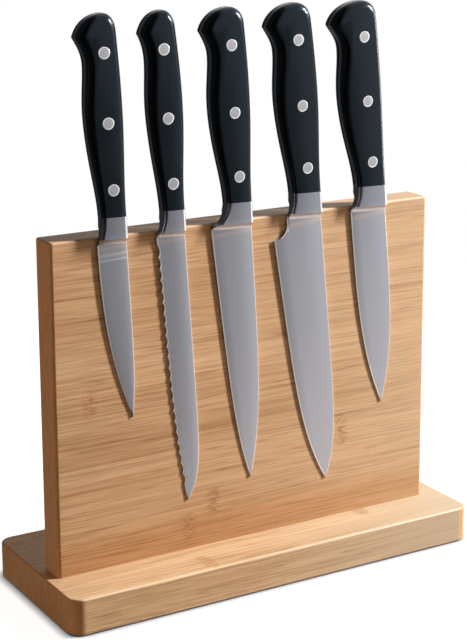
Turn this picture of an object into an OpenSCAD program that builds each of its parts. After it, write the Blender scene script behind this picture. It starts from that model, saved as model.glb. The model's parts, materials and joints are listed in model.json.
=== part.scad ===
// Magnetic knife block: a bamboo board on a bamboo base, with five forged
// kitchen knives held flat against its front by magnets under the surface.
// Origin: middle of the footprint, on the surface that the feet stand on.
// X runs to the right, Y to the back, Z up. All sizes are in millimetres.

/* [Board] */
// Length of the upright board
board_l = 244; // [236:1:280]
// Height of the board above the base
board_h = 187; // [180:1:240]
// Thickness of the front layer, which holds the magnets
front_layer_t = 9; // [8.5:0.5:14]
// Thickness of the back layer
back_layer_t = 9.5; // [8:0.5:14]
// Radius of the board's upright edges
board_corner_r = 2; // [1.6:0.1:3.5]
// Radius of the top edges of the board and of the base
edge_r = 1.2; // [0.6:0.1:1.6]

/* [Base] */
// Length of the base past the left end of the board
base_left = 6.7; // [5:0.1:40]
// Length of the base past the right end of the board
base_right = 13.3; // [5:0.1:40]
// Depth of the base in front of the board
base_front = 31.2; // [20:0.1:60]
// Depth of the base behind the board
base_back = 51.3; // [20:0.1:80]
// Thickness of the base
base_h = 20; // [16:0.5:30]
// Radius of the upright corners of the base
base_corner_r = 8; // [3:0.5:14]
// Depth of the slot in the base that the board is glued into
slot_depth = 6; // [3:0.5:8]

/* [Feet and fixings] */
// Diameter of a rubber foot
foot_d = 14; // [8:0.5:18]
// Thickness of a rubber foot
foot_t = 3; // [2:0.5:5]
// Height of a foot below the base
foot_proud = 1; // [0.5:0.1:1.8]
// Distance from a foot's centre to the edges of the base
foot_inset = 16; // [10:0.5:24]
// Diameter of a screw's shank
screw_d = 4.2; // [3:0.1:5]
// Diameter of a screw's head
screw_head_d = 8.4; // [7:0.1:9.5]
// Length of a screw
screw_l = 34; // [26:1:45]
// Distance from the outer screws to the ends of the board
screw_inset = 32; // [20:1:60]
// Diameter of a dowel between the layers of the board
dowel_d = 6; // [4:0.5:8]
// Length of a dowel
dowel_l = 12; // [8:0.5:12.5]
// Distance from a dowel's centre to the edges of the board
dowel_inset = 10; // [7:0.5:12]

/* [Magnets] */
// Bamboo left in front of the magnets
skin_t = 2.5; // [1.5:0.1:3]
// Thickness of a magnet
magnet_t = 4.5; // [3:0.1:4.5]
// Length of a magnet
magnet_l = 24; // [12:1:30]
// Height of a magnet
magnet_h = 12; // [6:1:16]
// Thickness of the steel strip behind a row of magnets
strip_t = 1.5; // [1:0.1:2]
// Height of the steel strip
strip_h = 14; // [8:1:18]
// Distance from the ends of a strip to the ends of the board
strip_inset = 12; // [8:1:20]
// Depth of the upper row below the top of the board
upper_row = 26; // [24:1:36]
// Distance from the upper row down to the lower row
row_pitch = 50; // [30:1:70]

/* [Knives] */
// Thickness of a blade and of its tang
blade_t = 2.4; // [1.8:0.1:3]
// Thickness of a blade just behind its ground edge
edge_t = 0.6; // [0.4:0.1:0.9]
// Width of the ground edge
bevel_w = 1; // [0.6:0.1:2]
// Thickness of a blade at its tip
tip_t = 1.2; // [0.9:0.1:1.6]
// Height of the bolster
bolster_h = 13; // [11:0.5:18]
// Height of the hollow curve from the bolster to the blade
cove_h = 3.7; // [2:0.1:5]
// Depth of the hollow curve's lower end below the bolster line
cove_drop = 2.5; // [1:0.1:4]
// Length of a handle
grip_l = 108; // [100:1:125]
// Thickness of a handle at the bolster
neck_t = 9.5; // [8:0.1:12]
// Thickness of a handle at the butt
butt_t = 15.5; // [12.5:0.1:18]
// Rounding of a handle's edges at the bolster
neck_r = 1.6; // [0.8:0.1:2]
// Rounding of a handle's edges along the grip
grip_r = 3; // [1.5:0.1:3.4]
// Rounding of a handle's edges at the butt
butt_r = 4.2; // [2.5:0.1:4.6]
// Depth of the waist below the butt's beak, as a share of the handle's width
waist_share = 0.12; // [0.04:0.01:0.18]
// Diameter of a rivet's head
rivet_d = 7; // [5:0.1:8]
// Diameter of a rivet's shank
rivet_shank_d = 4.6; // [3:0.1:4.8]
// Depth of a rivet's head
rivet_head_t = 2; // [1:0.1:2.5]
// Distance from the bolster to the first rivet
rivet_start = 15.6; // [12:0.1:20]
// Distance from the first rivet to the second
rivet_pitch = 35.7; // [24:0.1:38]
// Distance from the last rivet to the end of the butt
rivet_end = 19.8; // [16:0.1:26]

/* [Paring knife] */
// Distance from the left end of the board to the back of the blade
paring_at = 44; // [40:0.1:50]
// Lean of the knife, in degrees
paring_lean = 3.3; // [0:0.1:8]
// Depth of the bolster line below the top of the board
paring_drop = 2.2; // [1:0.1:4]
// Length of the blade
paring_blade_l = 100.5; // [80:0.5:120]
// Width of the blade
paring_blade_w = 17; // [14:0.1:22]
// Width of the handle
paring_grip_w = 18.8; // [15:0.1:24]
// Width of the handle at the bolster
paring_neck_w = 14.1; // [10:0.1:16]
// Height of the arch along the handle's back
paring_arch = 1.8; // [0:0.1:3]
// Reach of the beak past the grip
paring_beak = 2.7; // [1:0.1:4]

/* [Serrated knife] */
// Distance from the left end of the board to the back of the blade
serrated_at = 79.4; // [76:0.1:86]
// Lean of the knife, in degrees
serrated_lean = 4; // [0:0.1:8]
// Depth of the bolster line below the top of the board
serrated_drop = 2.2; // [1:0.1:4]
// Length of the blade
serrated_blade_l = 155; // [130:1:170]
// Width of the blade
serrated_blade_w = 17; // [15:0.1:22]
// Width of the handle
serrated_grip_w = 16.7; // [15:0.1:24]
// Width of the handle at the bolster
serrated_neck_w = 12.7; // [10:0.1:14]
// Height of the arch along the handle's back
serrated_arch = 2.9; // [0:0.1:4]
// Reach of the beak past the grip
serrated_beak = 1.4; // [1:0.1:4]
// Distance from one tooth to the next
tooth_pitch = 6.3; // [4:0.1:10]
// Radius of the hollow between two teeth
tooth_r = 5; // [5:0.1:9]

/* [Slicing knife] */
// Distance from the left end of the board to the back of the blade
slicing_at = 121.6; // [118:0.1:128]
// Lean of the knife, in degrees
slicing_lean = 3.8; // [0:0.1:8]
// Depth of the bolster line below the top of the board
slicing_drop = 2.3; // [1:0.1:4]
// Length of the blade
slicing_blade_l = 149; // [130:1:165]
// Width of the blade
slicing_blade_w = 25.2; // [20:0.1:30]
// Width of the handle
slicing_grip_w = 21.4; // [17:0.1:25]
// Width of the handle at the bolster
slicing_neck_w = 15.3; // [12:0.1:17]
// Height of the arch along the handle's back
slicing_arch = 2.2; // [0:0.1:3]
// Reach of the beak past the grip
slicing_beak = 2.5; // [1:0.1:4]

/* [Chef's knife] */
// Distance from the left end of the board to the back of the blade
chef_at = 167.6; // [164:0.1:173]
// Lean of the knife, in degrees
chef_lean = 5.5; // [0:0.1:8]
// Depth of the bolster line below the top of the board
chef_drop = 1.3; // [1:0.1:4]
// Length of the blade
chef_blade_l = 160.5; // [140:0.5:170]
// Width of the blade at its heel
chef_blade_w = 32; // [27:0.1:34]
// Width of the handle
chef_grip_w = 23.4; // [17:0.1:25]
// Width of the handle at the bolster
chef_neck_w = 18.1; // [12:0.1:20]
// Height of the arch along the handle's back
chef_arch = 2.3; // [0:0.1:3]
// Reach of the beak past the grip
chef_beak = 2.9; // [1:0.1:4]
// Step from the bolster out to the heel
heel_step = 9.8; // [3:0.1:11]

/* [Utility knife] */
// Distance from the left end of the board to the back of the blade
utility_at = 212.3; // [208:0.1:222]
// Lean of the knife, in degrees
utility_lean = 5.6; // [0:0.1:8]
// Depth of the bolster line below the top of the board
utility_drop = 1.9; // [1:0.1:4]
// Length of the blade
utility_blade_l = 119; // [95:0.5:135]
// Width of the blade
utility_blade_w = 23.5; // [20:0.1:30]
// Width of the handle
utility_grip_w = 25.5; // [17:0.1:28]
// Width of the handle at the bolster
utility_neck_w = 18.4; // [12:0.1:20]
// Height of the arch along the handle's back
utility_arch = 1.1; // [0:0.1:3]
// Reach of the beak past the grip
utility_beak = 3.5; // [1:0.1:4]

/* [Hidden] */
// Running clearance of a pin in its bore, on the radius
fit = 0.02;
// Clearance round a piece that is set into a pocket
pocket_fit = 0.15;
// Height of the back of a bolster above the top of the board
lift = 0.4;
// How far a cutting shape runs past the surface that it cuts
over = 1;
// Height of a rivet's head above its scale
rivet_proud = 0.1;
// Rounding of a blade's back edge
spine_r = 0.4;
// Thickness of the cutting edge itself
edge_end_t = 0.15;
// Distance from the bolster line down to the curve of a heel
heel_top = 4.1;
// Radius of that curve, as a share of the step at the heel
heel_share = 0.7;
// Width of a blade's flat in front, as a share of the blade's width
flat_share = 0.35;
// Distance from a handle's back to its rivets: this far and a share of the handle's width
rivet_inset = 2.4;
rivet_share = 0.31;
// Angle by which a bolster's lines rise past level towards the edge
joint_tilt = 1.5;
// Length below the bolster over which that tilt fades out
tilt_fade = 12;
// Depth of a handle's shoulder, beak, waist and belly below the end of the butt
shoulder_drop = 9.1;
beak_drop = 11.3;
waist_drop = 25.3;
belly_drop = 53.3;
// Distance from the middle of a handle to the highest point of its butt
crown_offset = 4;
// Distance from the bolster line to the first tooth, and from the last to the tip
first_tooth = 9;
last_tooth = 11;
// Rings of a blade, of the hollow curve and of the rest of the bolster
blade_steps = 26;
cove_steps = 5;
bolster_steps = 10;

board_t = front_layer_t + back_layer_t;
base_l = base_left + board_l + base_right;
base_d = base_front + board_t + base_back;
base_top = foot_proud + base_h;
board_top = base_top + board_h;
board_bottom = base_top - slot_depth;
board_left = base_left - base_l / 2;
board_x = board_left + board_l / 2;
face_y = base_front - base_d / 2;
seam_y = face_y + front_layer_t;
board_y = face_y + board_t / 2;
butt_z = bolster_h + grip_l;
row_z = [board_top - upper_row, board_top - upper_row - row_pitch];
screw_y = seam_y + back_layer_t / 2;
screw_sunk = 1;
dowel_front = front_layer_t - (skin_t + 1);

// Each knife: name, distance along the board, lean, blade length, blade width,
// handle width, handle width at the bolster, then the outline of its blade:
// distance from the back's line to the tip, taper of the edge per millimetre,
// power of the edge's curve, power of the back's curve, step at the heel; last
// the arch and the beak of its handle, and the drop of its bolster line.
KNIVES = [
    ["paring", paring_at, paring_lean, paring_blade_l, paring_blade_w,
        paring_grip_w, paring_neck_w, 3, 0, 2.5, 6, 0, paring_arch, paring_beak,
        paring_drop],
    ["serrated", serrated_at, serrated_lean, serrated_blade_l, serrated_blade_w,
        serrated_grip_w, serrated_neck_w, 9.9, 0.012, 4.5, 13, 0, serrated_arch, serrated_beak,
        serrated_drop],
    ["slicing", slicing_at, slicing_lean, slicing_blade_l, slicing_blade_w,
        slicing_grip_w, slicing_neck_w, 9.9, 0.06, 5.5, 4.7, 0, slicing_arch, slicing_beak,
        slicing_drop],
    ["chef", chef_at, chef_lean, chef_blade_l, chef_blade_w,
        chef_grip_w, chef_neck_w, 9.9, 0.062, 5.5, 8.5, heel_step, chef_arch, chef_beak,
        chef_drop],
    ["utility", utility_at, utility_lean, utility_blade_l, utility_blade_w,
        utility_grip_w, utility_neck_w, 11.4, 0, 3.4, 4, 0, utility_arch, utility_beak,
        utility_drop]
];
ROWS = ["upper", "lower"];
CORNERS = [[-1, -1], [1, -1], [-1, 1], [1, 1]];
RIVETS = [1, 2, 3];
ARC = [0:30:90];
SCREWS = [-1, 0, 1];

$fn = 64;

// ---- Shapes used by several pieces ----

// Upright plate with round corners and a rounded top edge, its foot on z = 0
module rounded_plate(l, d, h, corner, top) {
    module edge_profile(reach) {
        intersection() {
            square([reach, h]);
            union() {
                square([reach - top, h]);
                square([reach, h - top]);
                translate([reach - top, h - top]) circle(top);
            }
        }
    }
    module side(length, half_depth) {
        rotate([90, 0, 90]) linear_extrude(length, center = true) edge_profile(half_depth);
    }
    for (s = CORNERS) {
        translate([s[0] * (l / 2 - corner), s[1] * (d / 2 - corner), 0])
            rotate_extrude() edge_profile(corner);
    }
    for (turn = [0, 180]) {
        rotate(turn) side(l - 2 * corner, d / 2);
        rotate(turn + 90) side(d - 2 * corner, l / 2);
    }
}

// Flat end of a skin: strips across a ring that has an even number of points
function cap(n, first, order) = [
    for (i = [0:n / 2 - 2])
        for (t = [[i, i + 1, n - 1 - i], [i + 1, n - 2 - i, n - 1 - i]])
            [for (j = order) first + t[j]]
];

// Closed skin over a stack of rings that all have the same number of points
module skin(rings) {
    n = len(rings[0]);
    polyhedron(
        points = [for (ring = rings) each ring],
        faces = concat(
            cap(n, 0, [0, 2, 1]),
            [for (i = [0:len(rings) - 2]) for (j = [0:n - 1])
                [i * n + j, i * n + (j + 1) % n, (i + 1) * n + (j + 1) % n]],
            [for (i = [0:len(rings) - 2]) for (j = [0:n - 1])
                [i * n + j, (i + 1) * n + (j + 1) % n, (i + 1) * n + j]],
            cap(n, (len(rings) - 1) * n, [0, 1, 2])
        )
    );
}

function bezier(a, b, c, d, steps) = [
    for (i = [0:steps - 1]) let (t = i / steps, s = 1 - t)
        s * s * s * a + 3 * s * s * t * b + 3 * s * t * t * c + t * t * t * d
];

// ---- The block ----

// Board as one blank, from the bottom of its slot to its top
module board_blank(grow = 0) {
    translate([board_x, board_y, board_bottom])
        rounded_plate(board_l + 2 * grow, board_t + 2 * grow, board_h + slot_depth,
            board_corner_r, edge_r);
}

// Space between two heights of y, over the whole board
module layer_space(y0, y1) {
    translate([board_left - over, y0, board_bottom - over])
        cube([board_l + 2 * over, y1 - y0, board_h + slot_depth + 2 * over]);
}

module at_dowel(i) {
    s = CORNERS[i - 1];
    mid_z = (base_top + board_top) / 2;
    translate([board_x + s[0] * (board_l / 2 - dowel_inset), seam_y - dowel_front,
            mid_z + s[1] * (board_h / 2 - dowel_inset)])
        rotate([-90, 0, 0]) children();
}

module at_screw(i) {
    translate([board_x + SCREWS[i - 1] * (board_l / 2 - screw_inset), screw_y, foot_proud + screw_sunk]) children();
}

module at_foot(i) {
    s = CORNERS[i - 1];
    translate([s[0] * (base_l / 2 - foot_inset), s[1] * (base_d / 2 - foot_inset), 0]) children();
}

function knife_z(k) = board_top - k[14];

// Centre of the magnet behind a knife, on the back of the front skin
module at_magnet(k, row) {
    depth = knife_z(k) - row_z[row];
    translate([board_left + k[1] - k[4] / 2 + depth * tan(k[2]), face_y + skin_t, row_z[row]])
        children();
}

module magnet_block(grow, length) {
    translate([-magnet_l / 2 - grow, 0, -magnet_h / 2 - grow])
        cube([magnet_l + 2 * grow, length, magnet_h + 2 * grow]);
}

module strip_block(row, grow) {
    strip_l = board_l - 2 * strip_inset;
    translate([board_x - strip_l / 2 - grow, seam_y - strip_t, row_z[row] - strip_h / 2 - grow])
        cube([strip_l + 2 * grow, strip_t, strip_h + 2 * grow]);
}

module screw_shape(grow) {
    r = screw_d / 2 + grow;
    head_r = screw_head_d / 2 + grow;
    cylinder(h = screw_l + grow, r = r);
    cylinder(h = head_r - r, r1 = head_r, r2 = r);
}

module dowel_holes() {
    for (i = [1:4]) at_dowel(i) cylinder(h = dowel_l, d = dowel_d + 2 * fit);
}

module base() {
    color("burlywood") difference() {
        translate([0, 0, foot_proud])
            rounded_plate(base_l, base_d, base_h, base_corner_r, edge_r);
        translate([board_x - board_l / 2, face_y, board_bottom]) linear_extrude(base_h)
            slot_outline();
        for (i = [1:3]) at_screw(i) {
            screw_shape(fit);
            translate([0, 0, -screw_sunk - over])
                cylinder(h = screw_sunk + over + fit, d = screw_head_d + 2 * fit);
        }
        for (i = [1:4]) at_foot(i) cylinder(h = foot_t, d = foot_d + 2 * fit);
    }
}

// Plan of the board, for the slot
module slot_outline() {
    r = board_corner_r;
    translate([r, 0]) square([board_l - 2 * r, board_t]);
    translate([0, r]) square([board_l, board_t - 2 * r]);
    for (s = CORNERS) {
        translate([board_l / 2 + s[0] * (board_l / 2 - r), board_t / 2 + s[1] * (board_t / 2 - r)])
            circle(r);
    }
}

module front_layer() {
    color("tan") difference() {
        intersection() {
            board_blank();
            layer_space(face_y - over, seam_y);
        }
        for (row = [0, 1]) {
            strip_block(row, pocket_fit);
            for (k = KNIVES) at_magnet(k, row) magnet_block(pocket_fit, front_layer_t - skin_t);
        }
        dowel_holes();
    }
}

module back_layer() {
    color("peru") difference() {
        intersection() {
            board_blank();
            layer_space(seam_y, face_y + board_t + over);
        }
        dowel_holes();
        for (i = [1:3]) at_screw(i) screw_shape(fit);
    }
}

module strip(row) {
    color("slategray") strip_block(row, 0);
}

// A magnet fills the pocket between the skin and the strip
module magnet(k, row) {
    color("dimgray") at_magnet(k, row)
        translate([0, front_layer_t - skin_t - strip_t - magnet_t, 0]) magnet_block(0, magnet_t);
}

module dowel(i) {
    color("navajowhite") at_dowel(i) cylinder(h = dowel_l, d = dowel_d);
}

module screw(i) {
    slot = [screw_head_d * 0.55, 0.9, 1.4];
    color("silver") at_screw(i) difference() {
        screw_shape(0);
        for (turn = [0, 90]) rotate(turn)
            translate([-slot[0] / 2, -slot[1] / 2, -over]) cube([slot[0], slot[1], slot[2] + over]);
    }
}

module foot(i) {
    color("black") at_foot(i) cylinder(h = foot_t, d = foot_d);
}

// ---- The knives ----
// A knife is drawn in its own frame: the back of its blade runs down from the
// origin, its edge lies on the -X side, its handle stands up along +Z, and the
// face of the board is y = 0.

function blade_l(k) = k[3];
function grip_w(k) = k[5];
function neck_w(k) = k[6];
function arch(k) = k[12];

// Width of the blade where it leaves the bolster
function root_w(k) = k[4] - k[11];

// Slope of the bolster's lines, which lie almost level although the knife leans
function slope(k) = tan(k[2] + joint_tilt);

// Share of the blade's length, from the foot of the bolster to the tip
function along(k, v) = max(v - cove_drop, 0) / (blade_l(k) - cove_drop);

// The heel stands out from the bolster in a quarter circle
function heel_r(k) = heel_share * k[11];
function heel_v(k) = k[11] > 0 ? heel_top + heel_r(k) : 0;

// Distance from the back's line to the edge and to the back, v below the bolster line
function edge_u(k, v) =
    v <= heel_v(k) ?
        root_w(k) + heel_r(k) - sqrt(max(0, pow(heel_r(k), 2) - pow(max(0, v - heel_top), 2))) :
    let (t = along(k, v), taper = k[8] * blade_l(k))
        k[4] - taper * t - (k[4] - taper - k[7]) * pow(t, k[9]);
function back_u(k, v) = k[7] * pow(along(k, v), k[10]);

// Half of the handle's thickness at a height
function half_t(z) = (neck_t + (butt_t - neck_t) * (z - bolster_h) / grip_l) / 2;

module at_knife(k) {
    translate([board_left + k[1], face_y, knife_z(k)]) rotate([0, -k[2], 0]) children();
}

// Section of the blade, v below the bolster line: from a rounded back edge, each
// side has a flat, a slope and the ground edge. The edge lies in the middle plane,
// so it stands off the board that the flat behind lies on.
function blade_ring(k, v) =
    let (
        edge = edge_u(k, v),
        back = back_u(k, v),
        w = edge - back,
        bevel = min(bevel_w, w / 3),
        thick = blade_t + (tip_t - blade_t) * along(k, v),
        middle = thick / 2,
        r = min(spine_r, w / 5),
        b = min(edge_end_t, w / 3) / 2
    )
    [
        for (a = ARC) [-back - b + b * sin(a), -b + b * cos(a), -v],
        for (a = ARC) [-back - r + r * cos(a), -thick + r - r * sin(a), -v],
        [-back - flat_share * w, -thick, -v],
        [bevel - edge, -middle - edge_t / 2, -v],
        [bevel / 2 - edge, -middle - (edge_t + edge_end_t) / 4, -v],
        [-edge, -middle - edge_end_t / 2, -v],
        for (a = ARC) [b / 2 - edge - b / 2 * cos(a), -middle + edge_end_t / 2 * sin(a), -v],
        [bevel - edge, -middle + edge_t / 2, -v],
        [-back - flat_share * w, 0, -v]
    ];

// Section of the bolster at a height: as wide as the neck at its top and as the
// blade at its foot. Its back is flush with the blade up to clear_z, so that it
// passes the top of the board.
function bolster_ring(k, z, clear_z) =
    let (
        rise = 1 - (z + cove_drop) / (bolster_h + cove_drop),
        w = neck_w(k) + (root_w(k) - neck_w(k)) * rise * rise,
        behind = pow(min(1, max(0, z - clear_z) / cove_h), 2),
        front_y = -blade_t / 2 - half_t(z),
        back_y = behind * (half_t(z) - blade_t / 2),
        r = neck_r,
        b = edge_end_t / 2 + behind * (neck_r - edge_end_t / 2)
    )
    [
        for (a = ARC) [-b + b * sin(a), back_y - b + b * cos(a), z],
        for (a = ARC) [-r + r * cos(a), front_y + r - r * sin(a), z],
        for (a = ARC) [r - w - r * sin(a), front_y + r - r * cos(a), z],
        for (a = ARC) [b - w - b * cos(a), back_y - b + b * sin(a), z],
        for (share = [0.7, 0.35]) [-share * w, back_y, z]
    ];

// Section of the steel at a height: the blade passes into the bolster in a
// hollow curve
function steel_ring(k, z, clear_z) =
    let (
        share = pow(min(1, max(0, z + cove_drop) / cove_h), 2),
        ring = share == 0 ? blade_ring(k, -z) :
            share == 1 ? bolster_ring(k, z, clear_z) :
            (1 - share) * blade_ring(k, -z) + share * bolster_ring(k, z, clear_z),
        tilt = slope(k) * min(1, max(0, 1 + (z + cove_drop) / tilt_fade))
    )
    [for (p = ring) p - [0, 0, p[0] * tilt]];

// Outline of the handle from the bolster up its back, over the butt, round the
// beak and down to the bolster, as pairs of distance from the back and height
function grip_outline(k) =
    let (
        w = grip_w(k),
        tip = [w + k[13], butt_z - beak_drop],
        hollow = [w - waist_share * w, butt_z - waist_drop],
        belly = [w, butt_z - belly_drop],
        neck = [neck_w(k), bolster_h + neck_w(k) * slope(k)],
        start = [0, bolster_h],
        shoulder = [-0.61 * arch(k), butt_z - shoulder_drop],
        crown = [w / 2 - crown_offset, butt_z],
        rise = shoulder[1] - start[1],
        swell = hollow[1] - belly[1],
        fall = belly[1] - neck[1]
    )
    concat(
        bezier(start, start + [0, 0.33 * rise], [-2.2 * arch(k), shoulder[1] - 0.61 * rise],
            shoulder, 10),
        bezier(shoulder, shoulder + [0, 0.6 * shoulder_drop], [0.4 * crown[0], butt_z], crown, 6),
        bezier(crown, [(crown[0] + tip[0]) / 2, butt_z], tip + beak_drop * [-0.22, 0.58], tip, 7),
        bezier(tip, tip - beak_drop * [0.2, 0.38], hollow + [0, 0.18 * swell], hollow, 5),
        bezier(hollow, hollow - [0, 0.29 * swell], belly + [0, 0.42 * swell], belly, 5),
        bezier(belly, belly - [0, 0.43 * fall], neck + [0, 0.27 * fall], neck, 8),
        [neck]
    );

// Direction into the handle at a point of its outline: along the joint at both its ends
function inward(line, i) =
    let (joint = line[len(line) - 1] - line[0])
        i == 0 ? joint / norm(joint) :
        i == len(line) - 1 ? -joint / norm(joint) :
        let (d = line[i + 1] - line[i - 1]) [d[1], -d[0]] / norm(d);

// The rounding grows from the bolster to the grip, and again towards the butt
function round_r(z) =
    lookup((z - bolster_h) / grip_l, [[0, neck_r], [0.28, grip_r], [0.81, grip_r], [1, butt_r]]);

// One ring of a scale: at 0 the side is upright, at 90 degrees it reaches the flat
function scale_ring(line, angle, foot) = [
    for (i = [0:len(line) - 1])
        let (
            r = round_r(line[i][1]),
            p = line[i] + inward(line, i) * r * (1 - cos(angle)),
            depth = half_t(p[1]) - blade_t / 2
        )
        [-p[0], foot ? 0 : depth - r + r * sin(angle), p[1]]
];

// A scale with its inner face on y = 0
module scale_body(k) {
    line = grip_outline(k);
    skin(concat(
        [scale_ring(line, 0, true)],
        [for (a = [0:22.5:90]) scale_ring(line, a, false)]
    ));
}

function rivet_z(k, i) =
    i == 3 ? butt_z - rivet_end :
    bolster_h + rivet_start + (i - 1) * rivet_pitch;

module at_rivet(k, i) {
    w = i == 1 ? (neck_w(k) + grip_w(k)) / 2 : grip_w(k);
    translate([-rivet_inset - rivet_share * w, -blade_t / 2, rivet_z(k, i)])
        rotate([90, 0, 0]) children();
}

// A rivet with a head in each scale, centred on the tang
module rivet_shape(k, i, grow, cut) {
    half = half_t(rivet_z(k, i)) + rivet_proud;
    cylinder(h = 2 * half, d = rivet_shank_d + 2 * grow, center = true);
    for (s = [0, 1]) mirror([0, 0, s])
        translate([0, 0, half - rivet_head_t]) cylinder(h = rivet_head_t + cut, d = rivet_d + 2 * grow);
}

module rivet_holes(k) {
    for (i = RIVETS) at_rivet(k, i) rivet_shape(k, i, fit, over);
}

module tooth_cuts(k) {
    depth = tooth_r - sqrt(tooth_r * tooth_r - tooth_pitch * tooth_pitch / 4);
    count = floor((blade_l(k) - first_tooth - last_tooth) / tooth_pitch);
    for (i = [0:count]) {
        v = first_tooth + i * tooth_pitch;
        translate([-edge_u(k, v) - tooth_r + depth, 0, -v])
            rotate([90, 0, 0]) cylinder(h = 4 * blade_t, r = tooth_r, center = true);
    }
}

// Forged in one piece: blade, bolster and the tang between the scales
module blade(k) {
    lean = k[2];
    clear_z = (k[14] + root_w(k) * sin(lean)) / cos(lean) + lift;
    first_v = max(cove_drop, heel_v(k)) + 0.1;
    long = blade_l(k) - first_v;
    cove_top = cove_h - cove_drop;
    heights = concat(
        [for (i = [blade_steps - 2:-1:0]) -first_v - long * (1 - pow(1 - i / blade_steps, 2))],
        [if (k[11] > 0) for (a = [90:-15:0]) -heel_top - heel_r(k) * sin(a)],
        [for (i = [0:cove_steps]) i / cove_steps * cove_h - cove_drop],
        [for (i = [1:bolster_steps]) cove_top + (bolster_h - cove_top) * i / bolster_steps]
    );
    color("lightsteelblue") at_knife(k) difference() {
        union() {
            difference() {
                skin([for (z = heights) steel_ring(k, z, clear_z)]);
                if (k[0] == "serrated") tooth_cuts(k);
            }
            rotate([90, 0, 0]) linear_extrude(blade_t) polygon(concat(
                [[-neck_w(k) + neck_r, bolster_h - over], [-neck_r, bolster_h - over]],
                [for (p = grip_outline(k)) [-p[0], p[1]]]
            ));
        }
        rivet_holes(k);
    }
}

module front_scale(k) {
    color([0.1, 0.12, 0.14]) at_knife(k) difference() {
        translate([0, -blade_t, 0]) mirror([0, 1, 0]) scale_body(k);
        rivet_holes(k);
    }
}

module back_scale(k) {
    color([0.1, 0.12, 0.14]) at_knife(k) difference() {
        scale_body(k);
        rivet_holes(k);
    }
}

module rivet(k, i) {
    color("gainsboro") at_knife(k) at_rivet(k, i) rivet_shape(k, i, 0, 0);
}

// ---- Pieces ----

base();
front_layer();
back_layer();
for (row = [0, 1]) {
    strip(row);
    for (k = KNIVES) {
        magnet(k, row);
    }
}
for (i = [1:4]) {
    dowel(i);
    foot(i);
}
for (i = [1:3]) {
    screw(i);
}
for (k = KNIVES) {
    blade(k);
    front_scale(k);
    back_scale(k);
    for (i = RIVETS) {
        rivet(k, i);
    }
}
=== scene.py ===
"""Looks of the magnetic knife block with its five knives.

Lengths are in millimetres in the functions that draw a knife, and in metres
everywhere else. The knives repeat the driving sizes of the CAD part, and the face
of the board that they hang on comes from the frame. The block itself keeps its CAD
meshes.
"""

import json
import math
from collections import namedtuple

import bmesh
import bpy
from mathutils import Matrix, Vector


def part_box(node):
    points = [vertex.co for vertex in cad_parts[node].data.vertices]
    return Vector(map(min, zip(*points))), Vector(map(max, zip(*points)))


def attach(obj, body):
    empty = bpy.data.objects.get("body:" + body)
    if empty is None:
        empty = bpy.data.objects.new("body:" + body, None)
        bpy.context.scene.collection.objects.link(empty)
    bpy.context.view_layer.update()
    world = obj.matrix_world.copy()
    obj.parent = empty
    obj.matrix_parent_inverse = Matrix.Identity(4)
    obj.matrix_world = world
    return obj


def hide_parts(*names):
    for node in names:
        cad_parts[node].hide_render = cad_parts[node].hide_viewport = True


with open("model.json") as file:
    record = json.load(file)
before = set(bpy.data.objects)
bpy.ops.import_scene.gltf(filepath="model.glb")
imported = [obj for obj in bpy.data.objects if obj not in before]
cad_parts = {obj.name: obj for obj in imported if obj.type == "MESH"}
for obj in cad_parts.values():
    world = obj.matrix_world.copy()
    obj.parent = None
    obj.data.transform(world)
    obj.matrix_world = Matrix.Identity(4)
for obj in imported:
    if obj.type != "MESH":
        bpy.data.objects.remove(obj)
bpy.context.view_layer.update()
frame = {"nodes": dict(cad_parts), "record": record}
MM = 0.001

# ---- Driving sizes, as in the CAD part ----

BLADE_T = 2.4          # thickness of a blade and of its tang
EDGE_T = 0.6           # thickness just behind the ground edge
EDGE_END_R = 0.075     # half the thickness of the edge itself
BEVEL_W = 1.0          # width of the ground edge
TIP_T = 1.2            # thickness of the back at the tip
SPINE_R = 0.55         # rounding of the blade's back in front
FLAT_SHARE = 0.35      # how far the flat beside the blade's back goes, as a share of its width
SLOPE_POWER = 1.3      # how hollow the slope from that flat to the ground edge is
SLIM_FROM = 0.7        # share of the blade's length from which its front thins to the tip
SLIM_RUN = 0.3
BOLSTER_H = 13.0
BOLSTER_R = 2.2        # rounding of the bolster at the edge's side
BOLSTER_FRONT_R = 1.9  # rounding of its front at the back's side
COVE_H = 3.7           # hollow curve from the bolster to the blade
COVE_DROP = 2.5        # how far it starts below the bolster line
BUTT_Z = 121.0         # end of the butt above the bolster line
NECK_T = 9.5           # thickness of the handle at the bolster
BUTT_T = 15.5
WAIST_SHARE = 0.12     # how far the waist goes in, as a share of the handle's width
SHOULDER_DROP = 9.1    # heights below the end of the butt
BEAK_DROP = 11.3
WAIST_DROP = 25.3
BELLY_DROP = 53.3
CROWN_OFFSET = 4.0     # how far the crown lies behind the handle's middle
JOINT_TILT = 1.5       # degrees that the bolster's lines rise past level towards the edge
TILT_FADE = 12.0       # length below the bolster over which the tilt fades out
RIVET_R = 3.5
RIVET_SHANK_R = 2.3
RIVET_START = 15.6     # first rivet above the bolster
RIVET_PITCH = 35.7
RIVET_END = 19.8       # last rivet below the end of the butt
RIVET_INSET = 2.4      # from the handle's back: this far and a share of the handle's width
RIVET_SHARE = 0.31
RIVET_PROUD = 0.1
TOOTH_PITCH = 6.3
TOOTH_R = 5.0
TOOTH_DEPTH = TOOTH_R - math.sqrt(TOOTH_R ** 2 - TOOTH_PITCH ** 2 / 4)
FIRST_TOOTH = 9.0      # from the bolster line to the first tooth's hollow
LAST_TOOTH = 11.0      # from the last one to the tip, at least
HEEL_TOP = 4.1         # where the cut at the chef's knife's heel starts to curve out
HEEL_SHARE = 0.7       # radius of that curve, as a share of the step at the heel
LIFT = 0.4             # clear height above the board before a bolster's back swells
SEGMENTS = 48          # round a rivet
FOOT_INSET = 1.6       # foot of the tang, in from the bolster's sides and below its top
FOOT_DEPTH = 1
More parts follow.
